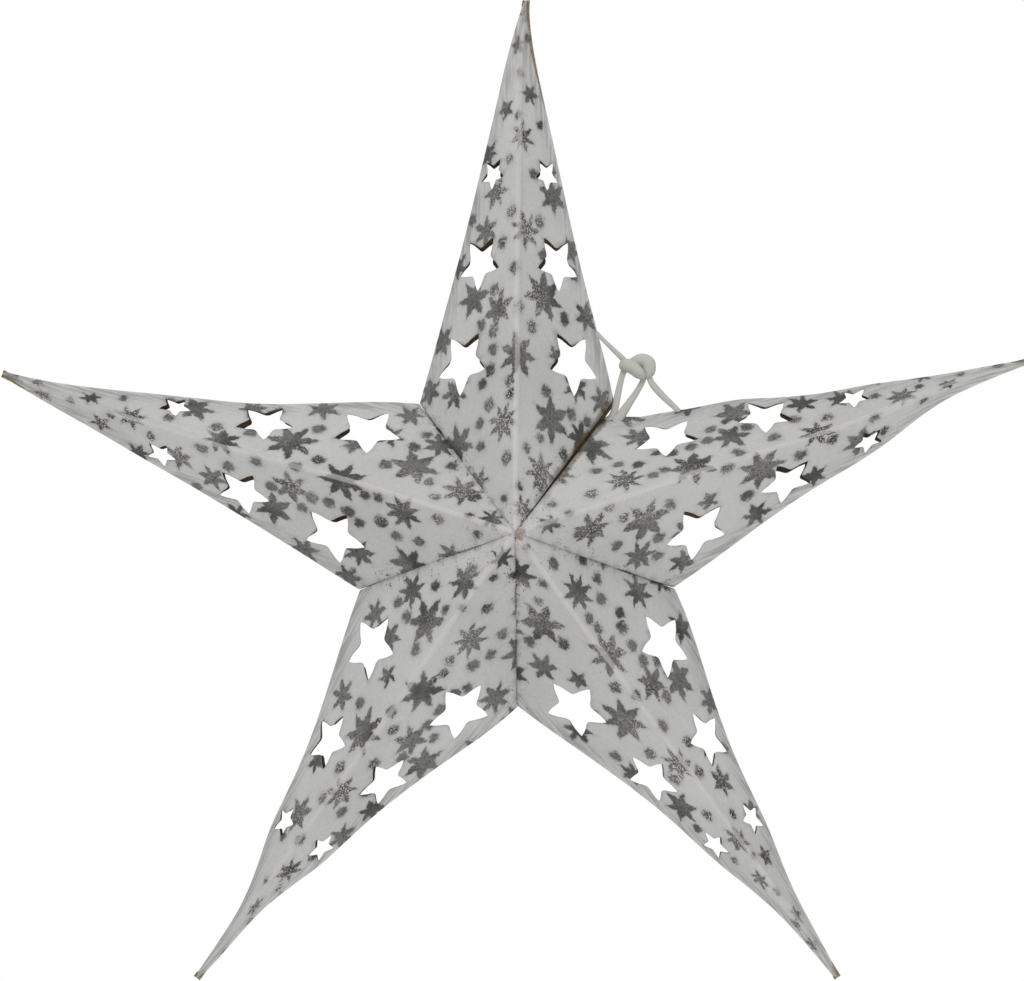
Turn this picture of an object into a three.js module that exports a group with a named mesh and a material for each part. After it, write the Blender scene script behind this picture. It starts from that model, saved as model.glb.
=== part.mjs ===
// Five-pointed folding paper star lantern.
//
// Every arm is one sheet of paper, creased along the ridge of its front, along its two outer
// edges, and glued shut along the ridge of its back. Neighbouring arms are glued to each other
// along the valleys between them, except at the seam between the top arm and the right arm,
// where two short cords are tied together and hold the star open. Untied, the star shuts like
// a fan: each arm closes like a book and the stack lies flat.
//
// The creases leave four flat panels on each arm. A panel is its own mesh, and a hair's width
// is left free along each crease, where the paper bends.
//
// Millimetres, +Z up along the top arm, +Y away from the viewer. The origin is the middle of
// the star, half-way between its front peak and its back peak.

import * as THREE from 'three';

// Overall shape
const TIP_RADIUS = 318;        // from the middle to where an arm's creases would meet
const VALLEY_RADIUS = 97;      // from the middle to the corner between two arms
const HALF_DEPTH = 75;         // from the plane of the tips to the front or back peak
const ARM_STEP = 72;           // degrees from one arm to the next

// Paper
const PAPER = 0.5;             // thickness of the card with its print and glue
const RIDGE_GAP = 0.3;         // free strip beside the crease of the front ridge
const SEAM_GAP = 1.3;          // free strip beside the glued edges of the back
const EDGE_GAP = 0.3;          // free strip beside the crease of the outer edge
const VALLEY_GAP = 0.6;        // free strip beside the glued valley
const TIP_CUT = 4;             // the arm's point is this much blunter than the creases' corner
const PEAK_CUT = 5;            // the small open spot where the panels meet at a peak
const CORNER_CUT = 1.5;        // the clipped corner of a panel at the end of a valley

// Star-shaped holes: [distance along the arm, distance beside its middle line, tip radius]
const HOLES = [
  [101, 31, 19],
  [162, 19.5, 16],
  [212, 12, 9],
];
const HOLE_POINTS = 5;
const HOLE_WAIST = 0.5;        // radius of the rounded lobes as a part of the tip radius
const LOBE_HALF_ANGLE = 13;    // degrees, half the width of a lobe's blunt end

// Tie at the seam
const CORD_RADIUS = 1.7;
const CORD_SIDES = 8;
const CORD_STEPS = 3;
const KNOT_CENTRE = new THREE.Vector3(70.6, 0, 100.3);
const KNOT_HALF_SIZE = new THREE.Vector3(10.5, 7.5, 8);

const PAPER_LOOK = { color: 0xd4d4d1, roughness: 0.85, metalness: 0 };
const CORD_LOOK = { color: 0xd9d7cc, roughness: 0.95, metalness: 0 };

const ARMS = [
  ['top', 90],
  ['right', 90 - ARM_STEP],
  ['lower_right', 90 - 2 * ARM_STEP],
  ['lower_left', 90 - 3 * ARM_STEP],
  ['left', 90 + ARM_STEP],
];
const FACES = [['front', -1], ['back', 1]];
const SIDES = [['cw', -1], ['ccw', 1]];

const star = new THREE.Group();

function addPiece(name, geometry, look) {
  const mesh = new THREE.Mesh(geometry, new THREE.MeshStandardMaterial(look));
  mesh.name = name;
  star.add(mesh);
  return mesh;
}

// A point in the plane of the tips, at a radius and an angle in degrees.
function inPlane(radius, degrees) {
  const angle = THREE.MathUtils.degToRad(degrees);
  return new THREE.Vector3(radius * Math.cos(angle), 0, radius * Math.sin(angle));
}

// The panel's own axes: the peak is its origin, x runs along the ridge to the tip and y lies
// in the paper towards the valley.
function panelFrame(armAngle, side, face) {
  const peak = new THREE.Vector3(0, face * HALF_DEPTH, 0);
  const tip = inPlane(TIP_RADIUS, armAngle);
  const valley = inPlane(VALLEY_RADIUS, armAngle + side * ARM_STEP / 2);
  const along = tip.clone().sub(peak).normalize();
  const toValley = valley.clone().sub(peak);
  const across = toValley.clone().addScaledVector(along, -toValley.dot(along)).normalize();
  const normal = along.clone().cross(across);
  const placed = new THREE.Matrix4().makeBasis(along, across, normal).setPosition(peak);
  const outward = normal.y * face > 0;
  return { peak, tip, valley, along, across, placed, outward };
}

// Keeps the part of a convex outline on the side of a line that the normal points away from.
function trimOutline(points, normal, limit) {
  const kept = [];
  points.forEach((point, index) => {
    const next = points[(index + 1) % points.length];
    const over = point.dot(normal) - limit;
    const nextOver = next.dot(normal) - limit;
    if (over <= 0) kept.push(point);
    if (over * nextOver < 0) {
      kept.push(point.clone().lerp(next, over / (over - nextOver)));
    }
  });
  return kept;
}

// The line through two points of an outline, with its normal on the left of the direction.
function edgeLine(from, to) {
  const normal = new THREE.Vector2(to.y - from.y, from.x - to.x).normalize();
  return { normal, limit: normal.dot(from) };
}

// The flat outline of a panel, with its free strips and blunt corners taken off.
function panelOutline(frame, ridgeGap, valleyGap) {
  const toTip = frame.tip.clone().sub(frame.peak);
  const toValley = frame.valley.clone().sub(frame.peak);
  const peak = new THREE.Vector2(0, 0);
  const tip = new THREE.Vector2(toTip.length(), 0);
  const valley = new THREE.Vector2(toValley.dot(frame.along), toValley.dot(frame.across));
  const ridge = edgeLine(peak, tip);
  const edge = edgeLine(tip, valley);
  const groove = edgeLine(valley, peak);
  let outline = [peak, tip, valley];
  outline = trimOutline(outline, ridge.normal, ridge.limit - ridgeGap);
  outline = trimOutline(outline, edge.normal, edge.limit - EDGE_GAP);
  outline = trimOutline(outline, groove.normal, groove.limit - valleyGap);
  const towardsPeak = valley.clone().normalize().add(new THREE.Vector2(1, 0)).normalize().negate();
  outline = trimOutline(outline, towardsPeak, -PEAK_CUT);
  outline = trimOutline(outline, new THREE.Vector2(1, 0), tip.x - TIP_CUT);
  const pastCorner = edge.normal.clone().add(groove.normal).normalize();
  outline = trimOutline(outline, pastCorner, pastCorner.dot(valley) - CORNER_CUT);
  return outline;
}

// A hole with sharp tips and blunt lobes of paper between them, one tip towards the peak.
function starHole(centre, radius) {
  const turn = Math.atan2(-centre.y, -centre.x);
  const step = 2 * Math.PI / HOLE_POINTS;
  const lobe = THREE.MathUtils.degToRad(LOBE_HALF_ANGLE);
  const points = [];
  for (let index = 0; index < HOLE_POINTS; index += 1) {
    const tipAngle = turn + index * step;
    const lobeAngle = tipAngle + step / 2;
    for (const [reach, angle] of [
      [radius, tipAngle],
      [radius * HOLE_WAIST, lobeAngle - lobe],
      [radius * HOLE_WAIST, lobeAngle + lobe],
    ]) {
      points.push(new THREE.Vector2(Math.cos(angle), Math.sin(angle)).multiplyScalar(reach).add(centre));
    }
  }
  return new THREE.Path(points);
}

// Where a hole's centre lies on the panel, from its place along and beside the arm.
function onPanel(frame, alongArm, besideArm) {
  const valleyAngle = THREE.MathUtils.degToRad(ARM_STEP / 2);
  const valleyAlong = VALLEY_RADIUS * Math.cos(valleyAngle);
  const valleyBeside = VALLEY_RADIUS * Math.sin(valleyAngle);
  const slope = (1 - valleyAlong / TIP_RADIUS) / valleyBeside;
  const depth = HALF_DEPTH * (alongArm / TIP_RADIUS + slope * besideArm);
  const ridgeLength = Math.hypot(TIP_RADIUS, HALF_DEPTH);
  const x = (alongArm * TIP_RADIUS + depth * HALF_DEPTH) / ridgeLength;
  const reachSquared = alongArm ** 2 + besideArm ** 2 + depth ** 2;
  return new THREE.Vector2(x, Math.sqrt(reachSquared - x ** 2));
}

// Panels: twenty flat pieces of paper, the outer faces lying outside the creases.
for (const [armName, armAngle] of ARMS) {
  for (const [faceName, face] of FACES) {
    for (const [sideName, side] of SIDES) {
      const frame = panelFrame(armAngle, side, face);
      const ridgeGap = face < 0 ? RIDGE_GAP : SEAM_GAP;
      const shape = new THREE.Shape(panelOutline(frame, ridgeGap, VALLEY_GAP));
      for (const [alongArm, besideArm, radius] of HOLES) {
        shape.holes.push(starHole(onPanel(frame, alongArm, besideArm), radius));
      }
      const geometry = new THREE.ExtrudeGeometry(shape, { depth: PAPER, bevelEnabled: false });
      geometry.translate(0, 0, frame.outward ? 0 : -PAPER);
      geometry.applyMatrix4(frame.placed);
      addPiece(`${armName}_${faceName}_${sideName}`, geometry, PAPER_LOOK);
    }
  }
}

// Tie: one cord on the end panel of the top arm and one on the end panel of the right arm.
// Each runs from a hole by the outer edge to the knot and back to the end of the valley.
function cordStrand(name, from, to) {
  const section = new THREE.Shape();
  section.absarc(0, 0, CORD_RADIUS, 0, 2 * Math.PI, false);
  const geometry = new THREE.ExtrudeGeometry(section, {
    steps: CORD_STEPS,
    curveSegments: CORD_SIDES,
    bevelEnabled: false,
    extrudePath: new THREE.LineCurve3(from, to),
  });
  addPiece(name, geometry, CORD_LOOK);
}

cordStrand('tie_cord_top_outer', new THREE.Vector3(50.4, 0, 119.4), new THREE.Vector3(61.2, 0, 107.6));
cordStrand('tie_cord_top_inner', new THREE.Vector3(59.4, 0, 82.6), new THREE.Vector3(61.8, 0, 94.2));
cordStrand('tie_cord_right_inner', new THREE.Vector3(66.6, 0, 82.8), new THREE.Vector3(70.0, 0, 90.2));
cordStrand('tie_cord_right_outer', new THREE.Vector3(92.6, 0, 85.4), new THREE.Vector3(80.6, 0, 94.2));

const knot = new THREE.SphereGeometry(1, 14, 10);
knot.scale(KNOT_HALF_SIZE.x, KNOT_HALF_SIZE.y, KNOT_HALF_SIZE.z);
knot.translate(KNOT_CENTRE.x, KNOT_CENTRE.y, KNOT_CENTRE.z);
addPiece('tie_knot', knot, CORD_LOOK);

export default star;
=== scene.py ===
import math

import bmesh
import bpy
from mathutils import Matrix, Vector, noise


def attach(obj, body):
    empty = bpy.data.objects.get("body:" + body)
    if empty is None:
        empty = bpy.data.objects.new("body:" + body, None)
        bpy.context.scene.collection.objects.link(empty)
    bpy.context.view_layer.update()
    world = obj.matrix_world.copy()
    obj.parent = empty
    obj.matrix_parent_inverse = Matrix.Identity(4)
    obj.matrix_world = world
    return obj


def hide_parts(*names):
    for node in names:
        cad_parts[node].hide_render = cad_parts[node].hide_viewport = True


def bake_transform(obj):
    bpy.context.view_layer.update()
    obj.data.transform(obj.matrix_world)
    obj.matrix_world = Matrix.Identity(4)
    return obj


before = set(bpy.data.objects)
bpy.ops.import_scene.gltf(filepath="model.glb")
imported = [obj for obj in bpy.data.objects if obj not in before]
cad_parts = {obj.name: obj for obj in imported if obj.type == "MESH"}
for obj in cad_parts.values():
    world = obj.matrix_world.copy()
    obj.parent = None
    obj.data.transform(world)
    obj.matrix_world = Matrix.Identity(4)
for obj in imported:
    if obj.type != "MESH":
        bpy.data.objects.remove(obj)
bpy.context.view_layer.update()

# ---------------------------------------------------------------------------------------------
# Camera and studio
# The star hangs free in a white studio, seen square on from a little below its middle.
# A pale floor lies a metre down, a big soft light stands above the camera, a weak one right.
# ---------------------------------------------------------------------------------------------
AIM = Vector((-0.0026, 0.0, 0.0279))
CAMERA_DISTANCE = 2.6
CAMERA_ELEVATION = math.radians(-3.0)
CAMERA_TURN = math.radians(0.6)


def point_at(thing, place, target):
    """Stands a lamp or the camera at a place and turns it to look at the target."""
    thing.location = place
    thing.rotation_euler = (target - place).to_track_quat("-Z", "Y").to_euler()


camera_data = bpy.data.cameras.new("camera")
camera_data.sensor_width = 36
camera_data.lens = 156
camera_data.clip_end = 60
camera = bpy.data.objects.new("camera", camera_data)
bpy.context.scene.collection.objects.link(camera)
point_at(
    camera,
    AIM
    + CAMERA_DISTANCE
    * Vector(
        (
            math.cos(CAMERA_ELEVATION) * math.sin(CAMERA_TURN),
            -math.cos(CAMERA_ELEVATION) * math.cos(CAMERA_TURN),
            math.sin(CAMERA_ELEVATION),
        )
    ),
    AIM,
)
bpy.context.scene.camera = camera
bpy.context.scene.view_settings.view_transform = "Standard"


def add_softbox(name, place, size, power):
    """A square lamp with a soft edge to its shadows, aimed at the middle of the star."""
    lamp = bpy.data.lights.new(name, "AREA")
    lamp.size = size
    lamp.energy = power
    softbox = bpy.data.objects.new(name, lamp)
    bpy.context.scene.collection.objects.link(softbox)
    point_at(softbox, Vector(place), Vector((0, 0, 0.03)))


add_softbox("key_softbox", (-0.7, -2.3, 2.9), 1.6, 46)
add_softbox("fill_softbox", (2.6, -2.4, 0.6), 2.0, 7)
add_softbox("rear_softbox", (0.6, 3.0, 1.8), 2.4, 30)

BACKGROUND_WHITE = 1.0
AMBIENT_LIGHT = 0.47

world = bpy.data.worlds.new("studio")
bpy.context.scene.world = world
world.use_nodes = True
world.node_tree.nodes.clear()
seen = world.node_tree.nodes.new("ShaderNodeBackground")
seen.inputs["Color"].default_value = (1, 1, 1, 1)
seen.inputs["Strength"].default_value = BACKGROUND_WHITE
felt = world.node_tree.nodes.new("ShaderNodeBackground")
felt.inputs["Color"].default_value = (1.0, 0.995, 0.985, 1)
felt.inputs["Strength"].default_value = AMBIENT_LIGHT
light_path = world.node_tree.nodes.new("ShaderNodeLightPath")
either = world.node_tree.nodes.new("ShaderNodeMixShader")
world_output = world.node_tree.nodes.new("ShaderNodeOutputWorld")
world.node_tree.links.new(light_path.outputs["Is Camera Ray"], either.inputs["Fac"])
world.node_tree.links.new(felt.outputs[0], either.inputs[1])
world.node_tree.links.new(seen.outputs[0], either.inputs[2])
world.node_tree.links.new(either.outputs[0], world_output.inputs["Surface"])

FLOOR_HEIGHT = -1.0
FLOOR_RADIUS = 12.0

floor_shape = bmesh.new()
bmesh.ops.create_circle(
    floor_shape,
    cap_ends=True,
    segments=96,
    radius=FLOOR_RADIUS,
    matrix=Matrix.Translation((0, 0, FLOOR_HEIGHT)),
)
floor_mesh = bpy.data.meshes.new("studio_floor")
floor_shape.to_mesh(floor_mesh)
floor_shape.free()
studio_floor = bpy.data.objects.new("studio_floor", floor_mesh)
bpy.context.scene.collection.objects.link(studio_floor)
floor_paint = bpy.data.materials.new("floor_paint")
floor_paint.use_nodes = True
floor_finish = floor_paint.node_tree.nodes["Principled BSDF"]
floor_finish.inputs["Base Color"].default_value = (0.94, 0.94, 0.935, 1)
floor_finish.inputs["Emission Color"].default_value = (1, 1, 1, 1)
floor_finish.inputs["Emission Strength"].default_value = 0.16
floor_finish.inputs["Roughness"].default_value = 0.8
floor_mesh.materials.append(floor_paint)

# ---------------------------------------------------------------------------------------------
# Tie cords
# Two short soft cotton cords, one threaded through the edge of the top arm and one through
# the edge of the right arm. Each comes out of its arm, runs through the knot and goes back in.
# ---------------------------------------------------------------------------------------------
CORD_WIDTH = 0.0038
CORD_FLATNESS = 0.6           # thickness as a part of the width
CORD_SIDES = 18
CORD_STEP = 0.0006

# Each route runs from inside the arm out to the knot, through it, and back into the arm.
# The fourth number is the width there: the soft cord spreads where it isn't pulled tight.
TOP_ROUTE = [
    (0.0405, 0.0, 0.1225, 0.0026),
    (0.0440, 0.0, 0.1225, 0.0026),
    (0.0472, 0.0, 0.1202, 0.0024),
    (0.0524, 0.0, 0.1150, 0.0026),
    (0.0576, 0.0, 0.1099, 0.0030),
    (0.0628, 0.0, 0.1047, 0.0034),
    (0.0643, 0.0, 0.1010, 0.0038),
    (0.0624, 0.0, 0.0965, 0.0036),
    (0.0607, 0.0, 0.0900, 0.0038),
    (0.0592, 0.0, 0.0830, 0.0042),
    (0.0577, 0.0, 0.0757, 0.0044),
    (0.0555, 0.0, 0.0710, 0.0040),
    (0.0520, 0.0, 0.0690, 0.0036),
]
RIGHT_ROUTE = [
    (0.0520, 0.0, 0.0600, 0.0060),
    (0.0565, 0.0, 0.0655, 0.0062),
    (0.0612, 0.0, 0.0720, 0.0060),
    (0.0663, 0.0, 0.0795, 0.0052),
    (0.0708, 0.0, 0.0862, 0.0042),
    (0.0738, 0.0, 0.0915, 0.0036),
    (0.0752, 0.0, 0.0950, 0.0034),
    (0.0775, 0.0, 0.0945, 0.0036),
    (0.0800, 0.0, 0.0900, 0.0044),
    (0.0850, 0.0, 0.0842, 0.0042),
    (0.0907, 0.0, 0.0787, 0.0038),
    (0.0962, 0.0, 0.0735, 0.0032),
    (0.0992, 0.0, 0.0700, 0.0030),
]


def smooth_route(points, step):
    """Points a step apart on one smooth curve through the given points."""
    points = [Vector(p) for p in points]
    ends = [2 * points[0] - points[1], *points, 2 * points[-1] - points[-2]]
    fine = []
    for before, start, end, after in zip(ends, ends[1:], ends[2:], ends[3:]):
        spans = max(2, round((end - start).length / step))
        for i in range(spans):
            t = i / spans
            fine.append(
                0.5
                * (
                    2 * start
                    + (end - before) * t
                    + (2 * before - 5 * start + 4 * end - after) * t**2
                    + (3 * start - before - 3 * end + after) * t**3
                )
            )
    return [*fine, points[-1]]


def interpolate(stops, part):
    """The value at a part of the way along evenly spaced stops."""
    place = min(part, 0.9999) * (len(stops) - 1)
    i = int(place)
    return stops[i] + (stops[i + 1] - stops[i]) * (place - i)


def add_piece(name, shape, materials):
    """Turns a finished bmesh into an object that sits at the origin."""
    mesh = bpy.data.meshes.new(name)
    shape.to_mesh(mesh)
    shape.free()
    for material in materials:
        mesh.materials.append(material)
    mesh.polygons.foreach_set("use_smooth", [True] * len(mesh.polygons))
    piece = bpy.data.objects.new(name, mesh)
    bpy.context.scene.collection.objects.link(piece)
    return piece


def sweep_cord(shape, route, size, turns):
    """Adds a soft flat cord along a route: oval rings that turn as it twists, joined up."""
    along = shape.loops.layers.uv.get("yarn") or shape.loops.layers.uv.new("yarn")
    side = Vector((0, 1, 0))
    rings = []
    spots = {}
    for i, place in enumerate(route):
        forward = (route[min(i + 1, len(route) - 1)] - route[max(i - 1, 0)]).normalized()
        side = (side - forward * side.dot(forward)).normalized()
        twist = Matrix.Rotation(2 * math.pi * turns * i / len(route), 4, "Z")
        section = Matrix((side, forward.cross(side), forward)).transposed().to_4x4()
        section.translation = place
        thickness, width = size(i / (len(route) - 1))
        ring = bmesh.ops.create_circle(
            shape,
            segments=CORD_SIDES,
            radius=0.5,
            matrix=section @ twist @ Matrix.Diagonal((thickness, width, 1, 1)),
        )["verts"]
        spots.update({vertex: (i, k) for k, vertex in enumerate(ring)})
        ring_edges = dict.fromkeys(edge for vertex in ring for edge in vertex.link_edges)
        rings.append(list(ring_edges))
    faces = []
    for ring, following in zip(rings, rings[1:]):
        faces += bmesh.ops.bridge_loops(shape, edges=ring + following)["faces"]
    for face in faces:
        closes_ring = max(spots[vertex][1] for vertex in face.verts) == CORD_SIDES - 1
        for loop in face.loops:
            u, v = spots[loop.vert]
            if closes_ring and v == 0:
                v = CORD_SIDES
            loop[along].uv = (u * CORD_STEP / CORD_WIDTH, v / CORD_SIDES)
    for ring in (rings[0], rings[-1]):
        faces += bmesh.ops.edgeloop_fill(shape, edges=ring)["faces"]
    bmesh.ops.recalc_face_normals(shape, faces=faces)


def add_node(tree, kind, inputs=(), **settings):
    """A shader node with its settings made and its inputs given as values or as sockets."""
    node = tree.nodes.new(kind)
    for setting, value in settings.items():
        setattr(node, setting, value)
    for socket, value in dict(inputs).items():
        if isinstance(value, bpy.types.NodeSocket):
            tree.links.new(value, node.inputs[socket])
        else:
            node.inputs[socket].default_value = value
    return node


def calculate(tree, operation, *values, clamp=False):
    """One step of arithmetic in a material."""
    return add_node(
        tree, "ShaderNodeMath", enumerate(values), operation=operation, use_clamp=clamp
    ).outputs[0]


def fade(tree, value, start, end):
    """0 before start, 1 after end, and a smooth change between them."""
    return add_node(
        tree,
        "ShaderNodeMapRange",
        {"Value": value, "From Min": start, "From Max": end},
        interpolation_type="SMOOTHSTEP",
    ).outputs["Result"]


def fade_out(tree, value, start, end):
    """1 before start and 0 after end."""
    return calculate(tree, "SUBTRACT", 1, fade(tree, value, start, end))


def blend_colours(tree, amount, first, second):
    node = add_node(tree, "ShaderNodeMix", {"Factor": amount}, data_type="RGBA")
    for socket, value in zip((node.inputs[6], node.inputs[7]), (first, second)):
        if isinstance(value, bpy.types.NodeSocket):
            tree.links.new(value, socket)
        else:
            socket.default_value = (*value, 1)
    return node.outputs[2]


def new_finish(name):
    """A new material, its node tree and its shader node."""
    material = bpy.data.materials.new(name)
    material.use_nodes = True
    return material, material.node_tree, material.node_tree.nodes["Principled BSDF"]


# Soft white cotton: fine yarns laid side by side, with painted shade greying the grooves
# between them, and loose fibres.
COTTON_LIGHT = (0.70, 0.70, 0.66)
COTTON_GROOVE_SHADE = (0.44, 0.435, 0.40)
YARNS_ROUND = 12
YARN_SLANT = 1.5

cotton, tree, shader = new_finish("soft_cotton")
yarn_uv = add_node(tree, "ShaderNodeUVMap", uv_map="yarn").outputs["UV"]
yarn_axes = add_node(tree, "ShaderNodeSeparateXYZ", {0: yarn_uv})
place = add_node(tree, "ShaderNodeTexCoord").outputs["Object"]
slant = calculate(
    tree,
    "MULTIPLY_ADD",
    yarn_axes.outputs["X"],
    YARN_SLANT,
    calculate(tree, "MULTIPLY", yarn_axes.outputs["Y"], YARNS_ROUND),
)
yarn_ridges_and_groove_shade = calculate(
    tree, "ABSOLUTE", calculate(tree, "SINE", calculate(tree, "MULTIPLY", slant, math.pi))
)
fibres = add_node(
    tree, "ShaderNodeTexNoise", {"Vector": place, "Scale": 900, "Detail": 4, "Roughness": 0.65}
).outputs["Fac"]
grime = add_node(
    tree, "ShaderNodeTexNoise", {"Vector": place, "Scale": 160, "Detail": 3}
).outputs["Fac"]
# painted shade: the grooves between the yarns are painted greyer, with fibres and grime mixed
# in
groove_shade_and_fibre_tone = calculate(
    tree,
    "MULTIPLY_ADD",
    yarn_ridges_and_groove_shade,
    0.35,
    calculate(tree, "MULTIPLY_ADD", fibres, 0.45, calculate(tree, "MULTIPLY", grime, 0.35)),
    clamp=True,
)
tree.links.new(
    blend_colours(tree, groove_shade_and_fibre_tone, COTTON_GROOVE_SHADE, COTTON_LIGHT), shader.inputs["Base Color"]
)
tree.links.new(
    calculate(tree, "MULTIPLY_ADD", fibres, 0.2, 0.62), shader.inputs["Roughness"]
)
relief = add_node(
    tree,
    "ShaderNodeBump",
    {
        "Height": calculate(tree, "MULTIPLY_ADD", fibres, 0.5, yarn_ridges_and_groove_shade),
        "Strength": 0.35,
        "Distance": 0.0004,
    },
)
tree.links.new(relief.outputs[0], shader.inputs["Normal"])
shader.inputs["Sheen Weight"].default_value = 0.25
shader.inputs["Sheen Roughness"].default_value = 0.4


def add_tie_cord(name, route, turns):
    widths = [place[3] for place in route]
    route = smooth_route([place[:3] for place in route], CORD_STEP)

    def size(part):
        width = interpolate(widths, part)
        return CORD_FLATNESS * width, width

    shape = bmesh.new()
    sweep_cord(shape, route, size, turns)
    return add_piece(name, shape, [cotton]), route


tie_cord_top, top_route = add_tie_cord("tie_cord_top", TOP_ROUTE, 0.06)
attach(tie_cord_top, "top_front_cw")
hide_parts("tie_cord_top_outer", "tie_cord_top_inner")

tie_cord_right, right_route = add_tie_cord("tie_cord_right", RIGHT_ROUTE, -0.08)
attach(tie_cord_right, "right_front_ccw")
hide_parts("tie_cord_right_inner", "tie_cord_right_outer")

# ---------------------------------------------------------------------------------------------
# Tie knot
# The two cords are pulled into one firm knot beside the seam: a round loop of the same cotton
# with a wide band laid over it from the left to the foot. The star hangs by it.
# ---------------------------------------------------------------------------------------------
# Each wrap: points of its middle line, then its thickness at evenly spaced places.
KNOT_WRAPS = [
    (
        [
            (0.0655, 0.0012, 0.1005),
            (0.0692, 0.0016, 0.1030),
            (0.0735, 0.0014, 0.1043),
            (0.0772, 0.0008, 0.1025),
            (0.0778, 0.0000, 0.0978),
            (0.0760, -0.0008, 0.0935),
        ],
        [0.0066, 0.0070, 0.0084, 0.0088, 0.0074, 0.0050],
    ),
    (
        [
            (0.0612, -0.0002, 0.0988),
            (0.0640, -0.0020, 0.1010),
            (0.0676, -0.0032, 0.1000),
            (0.0714, -0.0032, 0.0968),
            (0.0752, -0.0018, 0.0936),
        ],
        [0.0068, 0.0084, 0.0080, 0.0070, 0.0050],
    ),
]

knot_shape = bmesh.new()
for points, thicknesses in KNOT_WRAPS:

    def wrap_size(part):
        # both ends are drawn in round
        end = min(part, 1 - part) / 0.22
        rounded = math.sqrt(max(0.0, 1 - (1 - min(1, end)) ** 2))
        across = max(0.0004, interpolate(thicknesses, part) * rounded)
        return across * 0.86, across

    sweep_cord(knot_shape, smooth_route(points, CORD_STEP / 2), wrap_size, 0)
tie_knot = add_piece("tied_knot", knot_shape, [cotton])
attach(tie_knot, "top_front_cw")
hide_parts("tie_knot")

# ---------------------------------------------------------------------------------------------
# Printed paper
# Strong soft-white card, screen printed with charcoal flakes and dots. The ink is grainy and
# glittering near the middle and the ridges and matt grey to the sides; the inside is painted
# dark brown as painted shade.
# ---------------------------------------------------------------------------------------------
SHEET_SPAN = 350              # millimetres that one unit of a sheet's UV map stands for
RIDGE_LENGTH = 326.7
VALLEY_ANGLE = math.radians(40.2)     # between the ridge and the valley, in the flat paper
TIP_ANGLE = math.radians(18.8)        # between the ridge and the outer edge, in the flat paper

PAPER_LIGHT = (0.645, 0.645, 0.638)
PAPER_SHADE = (0.560, 0.558, 0.548)
INK_GREY = (0.068, 0.067, 0.066)
INK_BLACK = (0.030, 0.028, 0.028)
PAINTED_GLINT_WHITE = (0.72, 0.70, 0.66)
GLINT_GOLD = (0.50, 0.33, 0.14)
GLINT_PINK = (0.46, 0.24, 0.30)
DUST_AND_EDGE_SHADE_GREY = (0.25, 0.248, 0.243)
DIRT = (0.070, 0.068, 0.058)
CREASE_WEAR_AND_HIGHLIGHT = (0.70, 0.685, 0.64)
GLUE_BROWN = (0.24, 0.16, 0.13)
SEAM_PAINTED_SHADE = (0.150, 0.130, 0.085)

# Flakes: distance along the ridge, distance beside it, radius, rays, turn. Millimetres.
FLAKES = [
    (15, 6, 8, 7, 0.3),
    (40, 20, 12, 7, 0.9),
    (36, -30, 9, 6, 0.5),
    (62, -47, 13, 6, 0.2),
    (67, 52, 11, 7, 0.8),
    (68, -10, 12, 8, 0.5),
    (73, 28, 15, 6, 1.1),
    (94, -50, 11, 7, 0.7),
    (99, -71, 9, 6, 0.1),
    (93, 68, 9, 6, 0.4),
    (97, 47, 10, 6, 0.0),
    (107, 0, 15, 7, 0.2),
    (113, 31, 7, 5, 0.6),
    (128, -62, 10, 6, 0.3),
    (142, 56, 10, 6, 0.9),
    (138, -16, 12, 6, 0.8),
    (147, 21, 16, 7, 0.0),
    (149, -37, 13, 6, 0.6),
    (172, -52, 9, 6, 0.2),
    (180, 44, 9, 6, 0.5),
    (184, 6, 12, 7, 0.4),
    (188, -28, 10, 6, 1.0),
    (210, 28, 12, 6, 0.2),
    (210, -20, 10, 6, 0.5),
    (236, -27, 8, 6, 0.3),
    (241, 2, 10, 7, 0.0),
    (260, -12, 7, 5, 0.3),
    (269, 8, 7, 6, 0.6),
    (298, -3, 6, 5, 0.1),
    (318, 2, 6, 5, 0.4),
]
# Dots: distance along the ridge, distance beside it, radius. Millimetres.
DOTS = [
    (22, -9, 2.8),
    (28, 3, 2.6),
    (31, 20, 2.8),
    (46, -7, 3.8),
    (52, 9, 2.8),
    (54, 38, 3.5),
    (57, -28, 3.5),
    (60, 20, 3.0),
    (71, -29, 3.4),
    (78, 57, 3.4),
    (80, 44, 3.8),
    (81, -22, 4.0),
    (84, -5, 3.4),
    (89, 23, 3.8),
    (92, -6, 3.4),
    (95, -28, 3.4),
    (102, -22, 4.0),
    (114, -20, 3.8),
    (125, -20, 3.9),
    (126, 11, 3.8),
    (131, -30, 3.4),
    (136, 1, 3.6),
    (137, 38, 3.9),
    (150, -20, 3.9),
    (160, -3, 3.9),
    (166, 46, 3.9),
    (172, 21, 3.9),
    (178, -14, 3.9),
    (192, 17, 3.9),
    (195, -6, 3.7),
    (198, -40, 3.4),
    (220, 12, 3.6),
    (226, 28, 3.0),
    (228, -9, 3.0),
    (252, 17, 2.8),
    (254, -2, 2.6),
    (280, 0, 2.6),
    (303, 5, 3.2),
]

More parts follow.
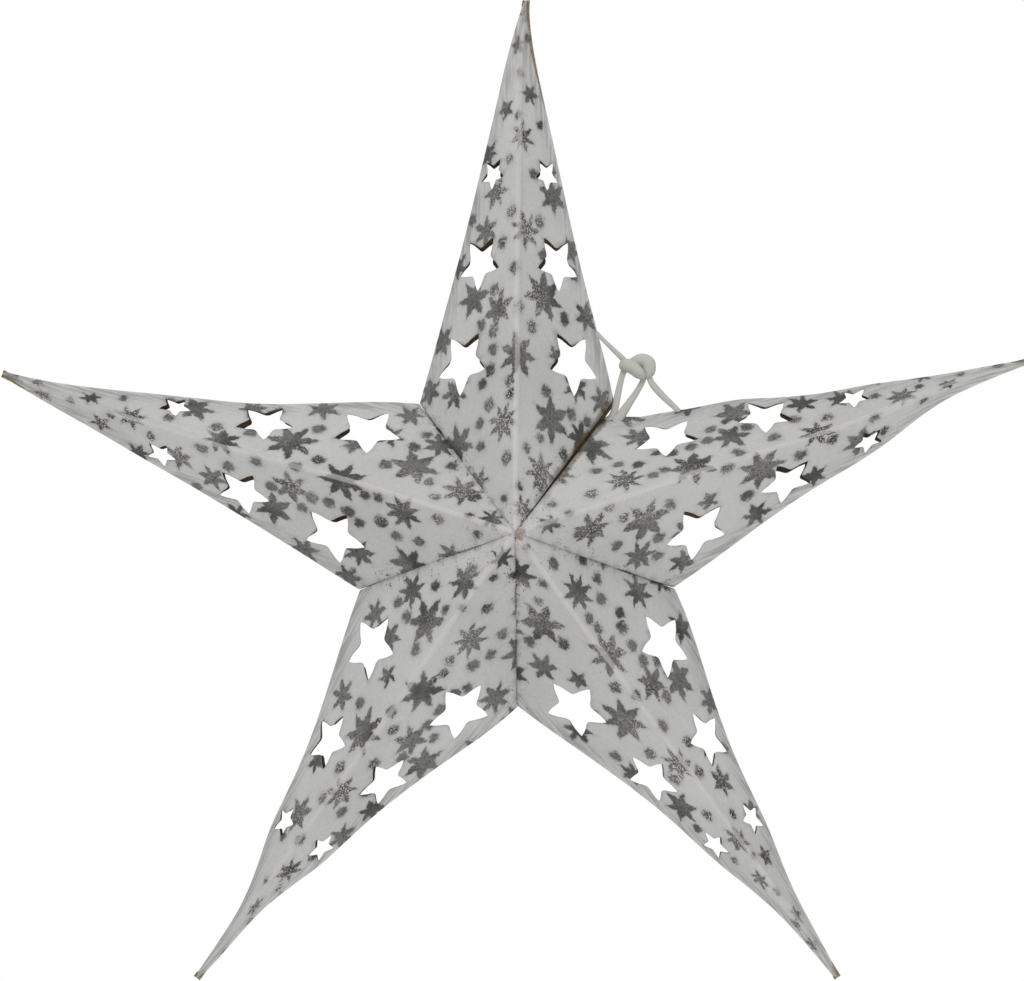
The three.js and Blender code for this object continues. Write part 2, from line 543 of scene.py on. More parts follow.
# One flake as a field: above zero inside it, and it falls by one for each millimetre outwards.
flake_stamp = bpy.data.node_groups.new("flake_stamp", "ShaderNodeTree")
for socket_name, socket_type in (
    ("Point", "NodeSocketVector"),
    ("Centre", "NodeSocketVector"),
    ("Radius", "NodeSocketFloat"),
    ("Rays per radian", "NodeSocketFloat"),
    ("Turn", "NodeSocketFloat"),
):
    flake_stamp.interface.new_socket(socket_name, in_out="INPUT", socket_type=socket_type)
flake_stamp.interface.new_socket("Field", in_out="OUTPUT", socket_type="NodeSocketFloat")
stamp_in = flake_stamp.nodes.new("NodeGroupInput")
stamp_out = flake_stamp.nodes.new("NodeGroupOutput")
from_centre = add_node(
    flake_stamp,
    "ShaderNodeVectorMath",
    {0: stamp_in.outputs["Point"], 1: stamp_in.outputs["Centre"]},
    operation="SUBTRACT",
).outputs["Vector"]
centre_axes = add_node(flake_stamp, "ShaderNodeSeparateXYZ", {0: from_centre})
bearing = calculate(
    flake_stamp, "ARCTAN2", centre_axes.outputs["Y"], centre_axes.outputs["X"]
)
# from 1 along the middle of a ray to 0 midway between two rays
ray_middle = calculate(
    flake_stamp,
    "PINGPONG",
    calculate(
        flake_stamp,
        "MULTIPLY",
        calculate(flake_stamp, "ADD", bearing, stamp_in.outputs["Turn"]),
        stamp_in.outputs["Rays per radian"],
    ),
    0.5,
)
RAY_TAPER = 1.35              # above 1 a ray narrows quickly from its root
ray = calculate(
    flake_stamp,
    "POWER",
    calculate(flake_stamp, "MULTIPLY_ADD", ray_middle, -2, 1),
    RAY_TAPER,
)
RAY_ROOT = 0.46               # radius of the round core as a part of the whole flake
reach = calculate(
    flake_stamp,
    "MULTIPLY",
    stamp_in.outputs["Radius"],
    calculate(flake_stamp, "MULTIPLY_ADD", ray, 1 - RAY_ROOT, RAY_ROOT),
)
away = add_node(
    flake_stamp, "ShaderNodeVectorMath", {0: from_centre}, operation="LENGTH"
).outputs["Value"]
flake_stamp.links.new(
    calculate(flake_stamp, "SUBTRACT", reach, away), stamp_out.inputs["Field"]
)

printed, tree, shader = new_finish("printed_card")
place = add_node(tree, "ShaderNodeTexCoord").outputs["Object"]


def speckle(scale, detail=3.0, roughness=0.55, coordinates=place):
    return add_node(
        tree,
        "ShaderNodeTexNoise",
        {"Vector": coordinates, "Scale": scale, "Detail": detail, "Roughness": roughness},
    ).outputs["Fac"]


def sheet_position(uv_map):
    """Millimetres along the ridge and beside it, read from one of the sheet's UV maps."""
    return add_node(
        tree,
        "ShaderNodeVectorMath",
        {
            0: add_node(tree, "ShaderNodeUVMap", uv_map=uv_map).outputs["UV"],
            1: (SHEET_SPAN, SHEET_SPAN, 0),
            2: (0, -SHEET_SPAN / 2, 0),
        },
        operation="MULTIPLY_ADD",
    ).outputs["Vector"]


# Where each point lies in its own flat sheet.
sheet_axes = add_node(tree, "ShaderNodeSeparateXYZ", {0: sheet_position("sheet")})
along_ridge = sheet_axes.outputs["X"]
beside_ridge = calculate(tree, "ABSOLUTE", sheet_axes.outputs["Y"])
to_valley = calculate(
    tree,
    "SUBTRACT",
    calculate(tree, "MULTIPLY", along_ridge, math.sin(VALLEY_ANGLE)),
    calculate(tree, "MULTIPLY", beside_ridge, math.cos(VALLEY_ANGLE)),
)
to_edge = calculate(
    tree,
    "SUBTRACT",
    calculate(
        tree,
        "MULTIPLY",
        calculate(tree, "SUBTRACT", RIDGE_LENGTH, along_ridge),
        math.sin(TIP_ANGLE),
    ),
    calculate(tree, "MULTIPLY", beside_ridge, math.cos(TIP_ANGLE)),
)

# The ink's edge wanders a little, as print does on rough card.
INK_WANDER = 5.0              # millimetres, the whole span of the noise that shifts it

wander = add_node(
    tree, "ShaderNodeTexNoise", {"Vector": place, "Scale": 240, "Detail": 3}
).outputs["Color"]
print_point = add_node(
    tree,
    "ShaderNodeVectorMath",
    {
        0: wander,
        1: (INK_WANDER, INK_WANDER, 0),
        2: add_node(
            tree,
            "ShaderNodeVectorMath",
            {0: sheet_position("print"), 1: (-INK_WANDER / 2, -INK_WANDER / 2, 0)},
            operation="ADD",
        ).outputs["Vector"],
    },
    operation="MULTIPLY_ADD",
).outputs["Vector"]
field = None
for along, beside, radius, rays, turn in FLAKES:
    here = add_node(
        tree,
        "ShaderNodeGroup",
        {
            "Point": print_point,
            "Centre": (along, beside, 0),
            "Radius": radius,
            "Rays per radian": rays / (2 * math.pi),
            "Turn": turn,
        },
        node_tree=flake_stamp,
    ).outputs["Field"]
    field = here if field is None else calculate(tree, "MAXIMUM", field, here)
for along, beside, radius in DOTS:
    distance = add_node(
        tree,
        "ShaderNodeVectorMath",
        {0: print_point, 1: (along, beside, 0)},
        operation="DISTANCE",
    ).outputs["Value"]
    field = calculate(tree, "MAXIMUM", field, calculate(tree, "SUBTRACT", radius, distance))

# Grain of the ink: fine cells, some left bare and a few that get a painted glint.
BARE_ABOVE = 0.74             # cells with a random value above this are left bare
GLINT_ABOVE = 0.86
grain = add_node(tree, "ShaderNodeTexVoronoi", {"Vector": place, "Scale": 1500})
grain_axes = add_node(tree, "ShaderNodeSeparateColor", {0: grain.outputs["Color"]})
grain_value = grain_axes.outputs[0]
patches = speckle(26, 2)
glittering = calculate(
    tree,
    "MULTIPLY",
    calculate(
        tree,
        "MAXIMUM",
        fade_out(tree, beside_ridge, 12, 30),
        fade_out(tree, along_ridge, 30, 75),
    ),
    fade(tree, patches, 0.38, 0.60),
)

INK_FRAYING = 6.4             # millimetres, the whole span of the noise that frays its edge
ragged = calculate(
    tree,
    "ADD",
    field,
    calculate(
        tree, "MULTIPLY_ADD", speckle(520, 4, 0.75), INK_FRAYING, -INK_FRAYING / 2
    ),
)
ink = fade(tree, ragged, -1.2, 1.2)
# Stray ink: fine spots round the flakes, thicker towards the valleys and the middle.
near_valley = fade_out(tree, to_valley, 3, 16)
near_middle = fade_out(tree, along_ridge, 12, 45)
stray_amount = calculate(
    tree,
    "MULTIPLY_ADD",
    calculate(
        tree,
        "MULTIPLY",
        calculate(tree, "MAXIMUM", near_valley, near_middle),
        fade(tree, speckle(48, 2), 0.35, 0.6),
    ),
    0.10,
    calculate(tree, "MULTIPLY", fade(tree, field, -5, 0), 0.030),
)
stray = calculate(
    tree,
    "MULTIPLY",
    fade(
        tree,
        calculate(tree, "ADD", speckle(420, 4, 0.75), stray_amount),
        0.69,
        0.72,
    ),
    0.85,
)
bare_grain = calculate(tree, "GREATER_THAN", grain_value, BARE_ABOVE)
ink_cover = calculate(
    tree,
    "MULTIPLY",
    ink,
    calculate(
        tree,
        "SUBTRACT",
        1,
        calculate(
            tree, "MULTIPLY", bare_grain, calculate(tree, "MULTIPLY", glittering, 0.65)
        ),
    ),
)
# Some flakes took less ink than others, and the card shows through theirs.
THIN_INK = 0.30               # the part of the ink that is missing there
ink_cover = calculate(
    tree,
    "MULTIPLY",
    ink_cover,
    calculate(
        tree,
        "MULTIPLY_ADD",
        calculate(
            tree,
            "MULTIPLY",
            fade(tree, speckle(31, 2), 0.36, 0.58),
            fade(tree, speckle(640, 3, 0.7), 0.30, 0.56),
        ),
        -THIN_INK,
        1.0,
    ),
)
# The crease lifts most of the ink off a narrow strip.
crease = fade_out(tree, beside_ridge, 1.5, 2.6)
edge_crease = fade_out(tree, to_edge, 0.6, 2.2)
ink_cover = calculate(
    tree,
    "MULTIPLY",
    calculate(tree, "MAXIMUM", ink_cover, stray),
    calculate(
        tree,
        "SUBTRACT",
        1,
        calculate(
            tree, "MULTIPLY", crease, calculate(tree, "MULTIPLY_ADD", patches, 0.5, 0.35)
        ),
    ),
)

mottle = calculate(
    tree,
    "MULTIPLY_ADD",
    speckle(14, 3),
    0.55,
    calculate(tree, "MULTIPLY", speckle(520, 3, 0.7), 0.45),
)
paper_colour = blend_colours(
    tree, fade(tree, mottle, 0.34, 0.64), PAPER_SHADE, PAPER_LIGHT
)
# Paler strips along the ridge and the outer edges: worn card, and a painted highlight where the
# rounded fold catches the light.
paper_colour = blend_colours(
    tree,
    calculate(tree, "MULTIPLY", calculate(tree, "MAXIMUM", crease, edge_crease), 0.55),
    paper_colour,
    CREASE_WEAR_AND_HIGHLIGHT,
)
# Soft grey dust round the flakes, and long streaks of painted shade beside the outer edges,
# where the card curves away from the light.
paper_colour = blend_colours(
    tree,
    calculate(tree, "MULTIPLY", fade(tree, field, -5, 1.5), 0.22),
    paper_colour,
    DUST_AND_EDGE_SHADE_GREY,
)
# painted shade: streaky darkening within 15 mm of the outer edges
streaks = speckle(
    1,
    4,
    0.6,
    add_node(
        tree,
        "ShaderNodeVectorMath",
        {0: sheet_position("sheet"), 1: (0.035, 0.42, 0)},
        operation="MULTIPLY",
    ).outputs["Vector"],
)
edge_shade_streaks = calculate(
    tree,
    "MULTIPLY",
    fade_out(tree, to_edge, 2, 15),
    calculate(tree, "MULTIPLY", fade(tree, streaks, 0.40, 0.62), 0.60),
)
paper_colour = blend_colours(tree, edge_shade_streaks, paper_colour, DUST_AND_EDGE_SHADE_GREY)
ink_colour = blend_colours(
    tree,
    calculate(tree, "MULTIPLY", glittering, fade(tree, grain_value, BARE_ABOVE, 0.35)),
    INK_GREY,
    INK_BLACK,
)
pepper = fade(tree, speckle(880, 2, 0.6), 0.50, 0.60)
ink_colour = blend_colours(
    tree,
    calculate(tree, "MULTIPLY", pepper, 0.85),
    ink_colour,
    INK_BLACK,
)
# Painted glints: gold, pink and white highlights painted on single cells of the glittering ink.
coloured_glint = calculate(
    tree,
    "MULTIPLY",
    calculate(tree, "GREATER_THAN", grain_axes.outputs[1], 0.94),
    calculate(tree, "MULTIPLY", glittering, 0.7),
)
glint_colour = blend_colours(
    tree, calculate(tree, "GREATER_THAN", grain_axes.outputs[2], 0.5), GLINT_GOLD, GLINT_PINK
)
ink_colour = blend_colours(tree, coloured_glint, ink_colour, glint_colour)
# painted highlight: bare cells in the glittering ink painted nearly white
bare_glint = calculate(
    tree,
    "MULTIPLY",
    calculate(tree, "GREATER_THAN", grain_value, GLINT_ABOVE),
    calculate(tree, "MULTIPLY", glittering, ink),
)
colour = blend_colours(tree, ink_cover, paper_colour, ink_colour)
colour = blend_colours(
    tree, calculate(tree, "MULTIPLY", bare_glint, 0.7), colour, PAINTED_GLINT_WHITE
)
# Dark glue and dirt in the valleys, and a brown dab of glue over the peak.
valley_line = calculate(
    tree,
    "MULTIPLY",
    fade_out(
        tree,
        calculate(
            tree, "ADD", to_valley, calculate(tree, "MULTIPLY_ADD", speckle(150), 3.6, -1.8)
        ),
        -0.2,
        0.9,
    ),
    fade(tree, speckle(38, 3), 0.46, 0.66),
)
colour = blend_colours(tree, valley_line, colour, DIRT)
GLUE_DAB = (0.0022, -0.0750, -0.0008)
from_peak = add_node(
    tree,
    "ShaderNodeVectorMath",
    {0: place, 1: GLUE_DAB},
    operation="DISTANCE",
).outputs["Value"]
dab = fade_out(
    tree,
    calculate(
        tree,
        "ADD",
        from_peak,
        calculate(tree, "MULTIPLY_ADD", speckle(330, 4, 0.7), 0.016, -0.008),
    ),
    0.0024,
    0.0052,
)
colour = blend_colours(tree, calculate(tree, "MULTIPLY", dab, 0.62), colour, GLUE_BROWN)
# Painted shade: the card is darkened olive brown along the seam that the cords hold open.
place_axes = add_node(tree, "ShaderNodeSeparateXYZ", {0: place})
SEAM_DIRECTION = math.radians(54)     # above the horizontal, to the right
beside_seam = calculate(
    tree,
    "ABSOLUTE",
    calculate(
        tree,
        "SUBTRACT",
        calculate(tree, "MULTIPLY", place_axes.outputs["X"], math.sin(SEAM_DIRECTION)),
        calculate(tree, "MULTIPLY", place_axes.outputs["Z"], math.cos(SEAM_DIRECTION)),
    ),
)
along_seam = calculate(
    tree,
    "ADD",
    calculate(tree, "MULTIPLY", place_axes.outputs["X"], math.cos(SEAM_DIRECTION)),
    calculate(tree, "MULTIPLY", place_axes.outputs["Z"], math.sin(SEAM_DIRECTION)),
)
seam_shade = calculate(
    tree,
    "MULTIPLY",
    fade_out(
        tree,
        calculate(
            tree,
            "ADD",
            beside_seam,
            calculate(tree, "MULTIPLY_ADD", speckle(130), 0.005, -0.0025),
        ),
        0.0016,
        0.0042,
    ),
    calculate(tree, "MULTIPLY", fade(tree, along_seam, 0.008, 0.07), 0.75),
)
colour = blend_colours(tree, seam_shade, colour, SEAM_PAINTED_SHADE)
tree.links.new(colour, shader.inputs["Base Color"])
tree.links.new(
    calculate(
        tree,
        "MULTIPLY_ADD",
        ink_cover,
        -0.14,
        calculate(tree, "MULTIPLY_ADD", speckle(300), 0.2, 0.60),
    ),
    shader.inputs["Roughness"],
)
shader.inputs["Specular IOR Level"].default_value = 0.4
relief = add_node(
    tree,
    "ShaderNodeBump",
    {
        "Height": calculate(
            tree, "MULTIPLY_ADD", speckle(900, 4, 0.7), 0.5, speckle(120, 3)
        ),
        "Strength": 0.35,
        "Distance": 0.0006,
    },
)
tree.links.new(relief.outputs[0], shader.inputs["Normal"])

# The plain inside of the card: warm pale paper painted dark brown as painted shade of the
# closed hollow, with darker fibres and smears of old glue.
INSIDE_SHADE_DARK = (0.20, 0.145, 0.085)
INSIDE_SHADE_LIGHT = (0.36, 0.275, 0.175)
OLD_GLUE = (0.16, 0.125, 0.075)

shaded_inside, tree, shader = new_finish("inside_painted_shade")
place = add_node(tree, "ShaderNodeTexCoord").outputs["Object"]
stretched = add_node(
    tree, "ShaderNodeMapping", {"Vector": place, "Scale": (1, 1, 3)}
).outputs["Vector"]
inside_fibres = add_node(
    tree, "ShaderNodeTexNoise", {"Vector": stretched, "Scale": 420, "Detail": 4}
).outputs["Fac"]
inside_patches = add_node(
    tree, "ShaderNodeTexNoise", {"Vector": place, "Scale": 22, "Detail": 3}
).outputs["Fac"]
# painted shade: the inside is coloured dark so that it reads as the shaded hollow
inside_shade_colour = blend_colours(
    tree, fade(tree, inside_fibres, 0.35, 0.7), INSIDE_SHADE_DARK, INSIDE_SHADE_LIGHT
)
inside_shade_colour = blend_colours(
    tree, fade(tree, inside_patches, 0.45, 0.75), inside_shade_colour, OLD_GLUE
)
tree.links.new(inside_shade_colour, shader.inputs["Base Color"])
tree.links.new(
    calculate(tree, "MULTIPLY_ADD", inside_fibres, 0.2, 0.72), shader.inputs["Roughness"]
)
relief = add_node(
    tree, "ShaderNodeBump", {"Height": inside_fibres, "Strength": 0.3, "Distance": 0.0004}
)
tree.links.new(relief.outputs[0], shader.inputs["Normal"])

# The cut edge of the card: pale and fibrous, with a trace of brown.
EDGE_SHADE = (0.38, 0.34, 0.28)
EDGE_LIGHT = (0.66, 0.64, 0.59)

cut_edge, tree, shader = new_finish("card_cut_edge")
place = add_node(tree, "ShaderNodeTexCoord").outputs["Object"]
edge_fibres = add_node(
    tree, "ShaderNodeTexNoise", {"Vector": place, "Scale": 1500, "Detail": 3}
).outputs["Fac"]
tree.links.new(
    blend_colours(tree, fade(tree, edge_fibres, 0.35, 0.7), EDGE_SHADE, EDGE_LIGHT),
    shader.inputs["Base Color"],
)
tree.links.new(
    calculate(tree, "MULTIPLY_ADD", edge_fibres, 0.15, 0.78), shader.inputs["Roughness"]
)

# ---------------------------------------------------------------------------------------------
# Arm sheets
# Each arm is one piece of card, creased along its front ridge and folded round its outer
# edges to the back. Each sheet here is half an arm: a front and a back panel round one edge.
# ---------------------------------------------------------------------------------------------
MM = 0.001
OUTWARD = 1.0067              # the printed face lies just outside the plane of the creases
TIP = Vector((318, 0, 0)) * OUTWARD
PEAK = Vector((0, 0, -75)) * OUTWARD
VALLEY = Vector((97 * math.cos(math.pi / 5), 97 * math.sin(math.pi / 5), 0)) * OUTWARD
HALF_WIDTH_SLOPE = VALLEY.y / (TIP.x - VALLEY.x)
CARD_THICKNESS = 0.3

# Axes of a half-arm's flat sheet: along the outer edge from the valley to the tip, and away
# from the edge, which is towards the peak in the front panel.
EDGE_AXIS = (TIP - VALLEY).normalized()
PANEL_AXIS = (PEAK - VALLEY) - EDGE_AXIS * (PEAK - VALLEY).dot(EDGE_AXIS)
PANEL_AXIS.normalize()
PEAK_ON_SHEET = Vector(((PEAK - VALLEY).dot(EDGE_AXIS), (PEAK - VALLEY).dot(PANEL_AXIS)))
EDGE_LENGTH = (TIP - VALLEY).length
RIDGE_AXIS = (TIP - PEAK).normalized()
INTO_STAR = Vector((-RIDGE_AXIS.z, 0, RIDGE_AXIS.x))
RIDGE_HALF_ANGLE = math.atan2((VALLEY - PEAK).y, (VALLEY - PEAK).dot(INTO_STAR))
EDGE_HALF_ANGLE = math.atan2(-PANEL_AXIS.z, Vector((PANEL_AXIS.x, PANEL_AXIS.y)).length)

EDGE_ROUNDING = 1.2
RIDGE_ROUNDING = 1.9
TIP_CUT = 3.0
GRID_STEP = 5.0

# Punched stars: distance along the arm, distance beside its middle line, reach of a point
# on the front and on the back, where the punch went through a little wider.
PUNCHED_STARS = [(100.5, 32, 20.0, 23.2), (159, 23.3, 17.3, 18.8), (211.5, 16.5, 9.8, 10.8)]
STAR_POINTS = 5
STAR_TILT = math.radians(4)
STAR_WAIST = 0.54
STEPS_TO_LOBE = 6


def smoothstep(value, start, end):
    t = min(1, max(0, (value - start) / (end - start)))
    return t * t * (3 - 2 * t)


def on_sheet(along, beside):
    """Where a spot of the arm, seen square on, lies in the flat front panel."""
    # solve VALLEY + p * EDGE_AXIS + q * PANEL_AXIS for its first two coordinates
    turned = EDGE_AXIS.x * PANEL_AXIS.y - EDGE_AXIS.y * PANEL_AXIS.x
    x, y = along - VALLEY.x, beside - VALLEY.y
    return Vector(
        (
            (x * PANEL_AXIS.y - y * PANEL_AXIS.x) / turned,
            (y * EDGE_AXIS.x - x * EDGE_AXIS.y) / turned,
        )
    )


def add_outline(curve, points):
    outline = curve.splines.new("POLY")
    outline.points.add(len(points) - 1)
    for point, (x, y) in zip(outline.points, points):
        point.co = (x, y, 0, 1)
    outline.use_cyclic_u = True


def cut_flat_sheet():
    """The half-arm's blank with its punched stars, cut into cells that can bend."""
    curve = bpy.data.curves.new("blank", "CURVE")
    curve.dimensions = "2D"
    curve.fill_mode = "BOTH"
    tip = EDGE_LENGTH - TIP_CUT
    spread = TIP_CUT * math.tan(
        math.atan2(PEAK_ON_SHEET.y, EDGE_LENGTH - PEAK_ON_SHEET.x)
    )
    peak = PEAK_ON_SHEET
    add_outline(
        curve, [(peak.x, peak.y), (0, 0), (peak.x, -peak.y), (tip, -spread), (tip, spread)]
    )
    # one point of every star looks back along the ridge, a little outwards
    star_turn = math.atan2(peak.y, peak.x - EDGE_LENGTH) + STAR_TILT
    for along, beside, front_reach, back_reach in PUNCHED_STARS:
        centre = on_sheet(along * OUTWARD, beside * OUTWARD)
        rim = []
        for i in range(2 * STEPS_TO_LOBE * STAR_POINTS):
            step = i % (2 * STEPS_TO_LOBE)
            from_point = min(step, 2 * STEPS_TO_LOBE - step) / STEPS_TO_LOBE
            radius = 1 - (1 - STAR_WAIST) * math.sin(from_point * math.pi / 2)
            bearing = star_turn + 2 * math.pi * i / (2 * STEPS_TO_LOBE * STAR_POINTS)
            rim.append(radius * Vector((math.cos(bearing), math.sin(bearing))))
        add_outline(curve, [centre + front_reach * spot for spot in rim])
        through = [centre + back_reach * spot for spot in reversed(rim)]
        add_outline(curve, [(x, -y) for x, y in through])
    blank = bpy.data.objects.new("blank", curve)
    bpy.context.scene.collection.objects.link(blank)
    evaluated = blank.evaluated_get(bpy.context.evaluated_depsgraph_get())
    flat = bmesh.new()
    flat.from_mesh(evaluated.to_mesh())
    evaluated.to_mesh_clear()
    bpy.data.objects.remove(blank)
    bpy.data.curves.remove(curve)
    bmesh.ops.remove_doubles(flat, verts=flat.verts, dist=0.01)
    bmesh.ops.dissolve_limit(
        flat, angle_limit=0.01, verts=flat.verts, edges=flat.edges, delimit=set()
    )

    def cut(place, across):
        bmesh.ops.bisect_plane(
            flat,
            geom=[*flat.verts, *flat.edges, *flat.faces],
            plane_co=(*place, 0),
            plane_no=(*across, 0),
            dist=0.001,
        )

    for i in range(math.floor(peak.x / GRID_STEP), math.ceil(EDGE_LENGTH / GRID_STEP)):
        cut((i * GRID_STEP, 0), (1, 0))
    for i in range(1, 12):
        cut((EDGE_LENGTH - 2.4 * i, 0), (1, 0))
    for i in range(math.ceil(peak.y / GRID_STEP)):
        for face in (-1, 1):
            cut((0, face * i * GRID_STEP), (0, 1))
    for part in (0.25, 0.5, 0.75, 1.0, 1.6):
        for face in (-1, 1):
            cut((0, face * part * EDGE_ROUNDING), (0, 1))
    for face in (-1, 1):
        ridge = (Vector((EDGE_LENGTH, 0)) - Vector((peak.x, face * peak.y))).normalized()
        inward = Vector((face * ridge.y, -face * ridge.x))
        for part in (0.25, 0.5, 0.75, 1.0, 2.0, 4.0):
            cut(Vector((EDGE_LENGTH, 0)) + inward * part * RIDGE_ROUNDING, inward)
    bmesh.ops.remove_doubles(flat, verts=flat.verts, dist=0.02)
    return flat


def fold_round(offset, half_angle, rounding):
    """Along the bisector and sideways from a crease, at an offset in the paper from it."""
    tangent = rounding / math.tan(half_angle)
    if offset >= tangent:
        return offset * math.cos(half_angle), offset * math.sin(half_angle)
    turn = offset / tangent * (math.pi / 2 - half_angle)
    return (
        rounding / math.sin(half_angle) - rounding * math.cos(turn),
        rounding * math.sin(turn),
    )


def fold_sheet_point(p, q):
    """A point of the flat sheet on the folded arm: along it, beside its middle line, deep."""
    flat = VALLEY + EDGE_AXIS * p + PANEL_AXIS * abs(q)
    from_peak = flat - PEAK
    along = from_peak.dot(RIDGE_AXIS)
    from_ridge = (from_peak - RIDGE_AXIS * along).length
    panel_width = max(0.2, (EDGE_LENGTH - p) * math.tan(TIP_ANGLE))
    edge_rounding = min(EDGE_ROUNDING, 0.4 * panel_width)
    ridge_rounding = min(RIDGE_ROUNDING, 0.4 * panel_width)
    if abs(q) < edge_rounding:
        bisector = Vector((PANEL_AXIS.x, PANEL_AXIS.y, 0)).normalized()
        inward, sideways = fold_round(abs(q), EDGE_HALF_ANGLE, edge_rounding)
        folded = VALLEY + EDGE_AXIS * p + bisector * inward - Vector((0, 0, sideways))
    elif from_ridge < ridge_rounding:
        inward, sideways = fold_round(from_ridge, RIDGE_HALF_ANGLE, ridge_rounding)
        folded = PEAK + RIDGE_AXIS * along + INTO_STAR * inward + Vector((0, sideways, 0))
    else:
        folded = flat
    if q < 0:
        folded = Vector((folded.x, folded.y, -folded.z))
    return folded, along, from_ridge


# How each arm has been bent by hand: lean and curl are sideways, millimetres, towards the
# next arm anticlockwise; narrow and pinch draw in the outer half and the last third; shift and
# turn are where the print sits.
ARMS = {
    "top": dict(
        angle=90,
        narrow=0.05,
        pinch=0.0,
        leans=[(-1.2, 50, 110), (-1.3, 120, 270)],
        curl=-3.0,
        shift=(0, 0),
        turn=0,
    ),
    "right": dict(
        angle=18,
        narrow=0.19,
        pinch=0.26,
        leans=[(2.0, 40, 110), (5.0, 190, 270)],
        curl=-1.3,
        shift=(-6, 4),
        turn=1,
    ),
    "lower_right": dict(
        angle=-54,
        narrow=0.20,
        pinch=0.25,
        leans=[(1.0, 50, 110), (0.8, 120, 270)],
        curl=-1.0,
        shift=(17, 4),
        turn=-1,
    ),
    "lower_left": dict(
        angle=-126,
        narrow=0.20,
        pinch=0.40,
        leans=[(1.8, 50, 110), (-0.5, 120, 270)],
        curl=-1.2,
        shift=(-2, 9),
        turn=1,
    ),
    "left": dict(
        angle=162,
        narrow=0.13,
        pinch=0.05,
        leans=[(3.4, 90, 180)],
        curl=-2.0,
        shift=(-1, 1),
        turn=0,
    ),
}
# How far the corner between two arms stands out from its place in the folded pattern.
CORNER_SHIFT = {54: 0.0, 126: 0.5, 198: 0.0, 270: 1.2, 342: 0.0}
CORNER_SPREAD = 55            # from the corner to where that has died away
SEAM_ANGLE = 54
SEAM_OPENING = {-1: 2.2, 1: 1.1}      # how far each side of the seam is pared at its corner
SEAM_CORNER_DROP = 12.0       # how far the right arm's corner has slipped in along the seam
SEAM_CORNER_SPREAD = 40
SEAM_SAG = 8.0                # how far the right arm's loose edge sinks beside the seam
TAIL_HALF_WIDTH = 2.4
NARROWEST_ROLL = 3            # least width of card that rolls round a crease
WIDEST_ROLL = 8
ROLL_TO_DRAW = 1.6            # that width as a part of how far the edge is drawn in
LEAN_IN_PANEL = 0.3           # part of the half width by which a lean slides in the panel
PANEL_SLOPE = -PEAK.z / (HALF_WIDTH_SLOPE * TIP.x)    # depth for each step sideways
CURL_START = 270
CURL_LENGTH = 45
WAVE = 0.5                    # how far the card waves out of flat
ARM_MIDDLE = 0.12             # metres from the middle of the star to a spot inside the arm


def bend_arm(point, from_edge, from_ridge, arm, hand, at_seam):
    """Gives a folded point the arm's narrowing, its tail, its lean and its curl.

    Each point slides within its own panel, so that the arm shuts nearly flat. The card rolls
    round to the next panel in a strip along each crease, and there it doesn't."""
    along, beside, deep = point
    narrowing = (
        1
        - arm["narrow"] * smoothstep(along, 85, 195)
        - arm["pinch"] * smoothstep(along, 215, 280)
    )
    ideal = max(0.1, HALF_WIDTH_SLOPE * (TIP.x - along))
    half_width = math.hypot(ideal * narrowing, TAIL_HALF_WIDTH * smoothstep(along, 200, 300))
    inwards = beside * (1 - half_width / ideal)
    lean = arm["curl"] * max(0, (along - CURL_START) / CURL_LENGTH) ** 2
    for amount, start, end in arm["leans"]:
        lean += amount * smoothstep(along, start, end)
    strip = max(NARROWEST_ROLL, ROLL_TO_DRAW * abs(ideal - half_width))
    strip = min(WIDEST_ROLL, 0.5 * ideal, strip)
    in_panel = math.copysign(smoothstep(abs(from_edge), 0, strip), from_edge)
    leans_in_panel = min(max(-hand * lean, -LEAN_IN_PANEL * ideal), LEAN_IN_PANEL * ideal)
    slides = inwards + leans_in_panel * smoothstep(from_ridge, 0, strip)
    deep -= in_panel * PANEL_SLOPE * slides
    beside = hand * (beside - inwards) + lean
    if at_seam and hand == 1:
        from_seam = along * math.sin(math.pi / 5) - point.y * math.cos(math.pi / 5)
        sagged = smoothstep(abs(from_seam), 0, 14)
        sagged *= 1 - smoothstep((point - VALLEY).length, 25, 80)
        beside -= SEAM_SAG * sagged
    return Vector((along, beside, deep))


flat_sheet = cut_flat_sheet()


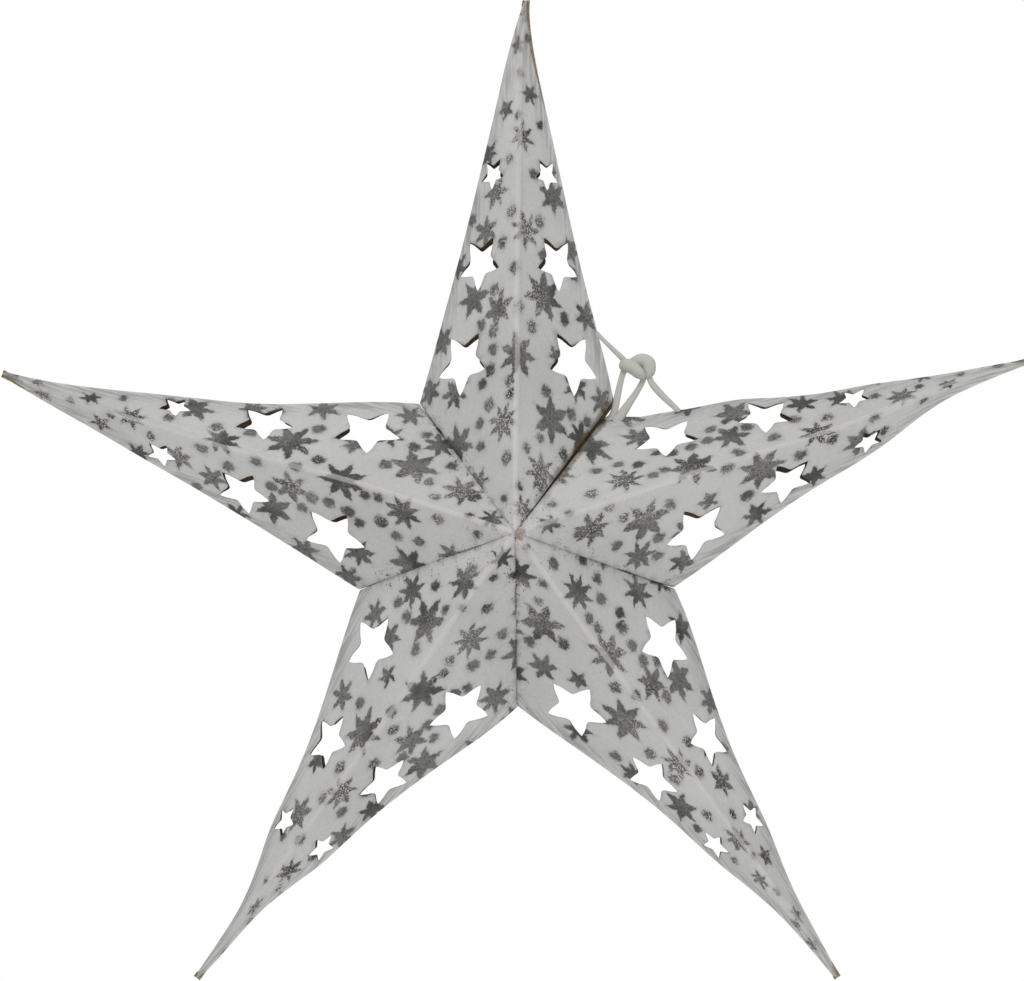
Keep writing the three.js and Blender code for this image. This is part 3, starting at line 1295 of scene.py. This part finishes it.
def make_arm_sheet(name, arm, side):
    """Folds one half-arm from the flat sheet, in its place in the star."""
    hand = 1 if side == "ccw" else -1
    angle = math.radians(arm["angle"])
    forward = Vector((math.cos(angle), 0, math.sin(angle)))
    leftward = Vector((-math.sin(angle), 0, math.cos(angle)))
    corner_angle = (arm["angle"] + hand * 36) % 360
    corner_direction = Vector(
        (math.cos(math.radians(corner_angle)), 0, math.sin(math.radians(corner_angle)))
    )
    corner = corner_direction * VALLEY.xy.length
    at_seam = corner_angle == SEAM_ANGLE
    shape = flat_sheet.copy()
    if at_seam:
        # the front panel is pared back from the seam, from nothing at the peak
        seam_line = PEAK_ON_SHEET.normalized()
        across = Vector((seam_line.y, -seam_line.x))
        turn = Matrix.Rotation(math.atan2(SEAM_OPENING[hand], PEAK_ON_SHEET.length), 2)
        across = turn @ across
        front = [f for f in shape.faces if f.calc_center_median().y > 0]
        front_verts = dict.fromkeys(v for f in front for v in f.verts)
        front_edges = dict.fromkeys(e for f in front for e in f.edges)
        bmesh.ops.bisect_plane(
            shape,
            geom=[*front_verts, *front_edges, *front],
            plane_co=(*PEAK_ON_SHEET, 0),
            plane_no=(*across, 0),
            dist=0.001,
            clear_inner=True,
        )
    sheet_uv = shape.loops.layers.uv.new("sheet")
    print_uv = shape.loops.layers.uv.new("print")
    print_turn = Matrix.Rotation(math.radians(arm["turn"]), 2)
    positions = {}
    for vertex in shape.verts:
        folded, along, from_ridge = fold_sheet_point(vertex.co.x, vertex.co.y)
        bent = bend_arm(folded, vertex.co.y, from_ridge, arm, hand, at_seam)
        out = Vector((0, 0, math.copysign(1, bent.z) if bent.z else 0))
        calm = smoothstep(from_ridge, 2, 18) * smoothstep(abs(vertex.co.y), 2, 14)
        ripple = noise.noise(Vector((bent.x / 28, bent.y / 28, bent.z / 60 + arm["angle"])))
        bent += out * WAVE * ripple * calm
        placed = forward * bent.x + leftward * bent.y + Vector((0, bent.z, 0))
        near_corner = max(0, 1 - (placed - corner).length / CORNER_SPREAD) ** 2
        placed += corner_direction * CORNER_SHIFT[corner_angle] * near_corner
        if at_seam and hand == 1:
            slipped = max(0, 1 - (placed - corner).length / SEAM_CORNER_SPREAD) ** 2
            placed -= corner_direction * SEAM_CORNER_DROP * slipped
        positions[vertex] = placed * MM
        print_here = Vector((along, -hand * from_ridge))
        shifted = print_turn @ print_here + Vector(arm["shift"])
        for loop in vertex.link_loops:
            loop[sheet_uv].uv = (print_here / SHEET_SPAN) + Vector((0, 0.5))
            loop[print_uv].uv = (shifted / SHEET_SPAN) + Vector((0, 0.5))
    for vertex, placed in positions.items():
        vertex.co = placed
    bmesh.ops.remove_doubles(shape, verts=shape.verts, dist=0.00002)
    bmesh.ops.dissolve_degenerate(shape, edges=shape.edges, dist=0.00001)
    # the printed side looks away from the arm's own middle
    middle = forward * ARM_MIDDLE
    facing = sum(
        (f.calc_center_median() - middle).dot(f.normal) * f.calc_area() for f in shape.faces
    )
    if facing < 0:
        bmesh.ops.reverse_faces(shape, faces=shape.faces)
    piece = add_piece(name, shape, [printed, shaded_inside, cut_edge])
    wall = piece.modifiers.new("card", "SOLIDIFY")
    wall.thickness = CARD_THICKNESS * MM
    wall.offset = -1
    wall.material_offset = 1
    wall.material_offset_rim = 2
    finished = bpy.data.meshes.new_from_object(
        piece.evaluated_get(bpy.context.evaluated_depsgraph_get())
    )
    piece.modifiers.clear()
    piece.data = finished
    return piece


for arm_name, arm in ARMS.items():
    for side in ("cw", "ccw"):
        half_arm = make_arm_sheet(f"{arm_name}_sheet_{side}", arm, side)
        front, back = f"{arm_name}_front_{side}", f"{arm_name}_back_{side}"
        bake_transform(half_arm)
        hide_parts(front, back)
flat_sheet.free()
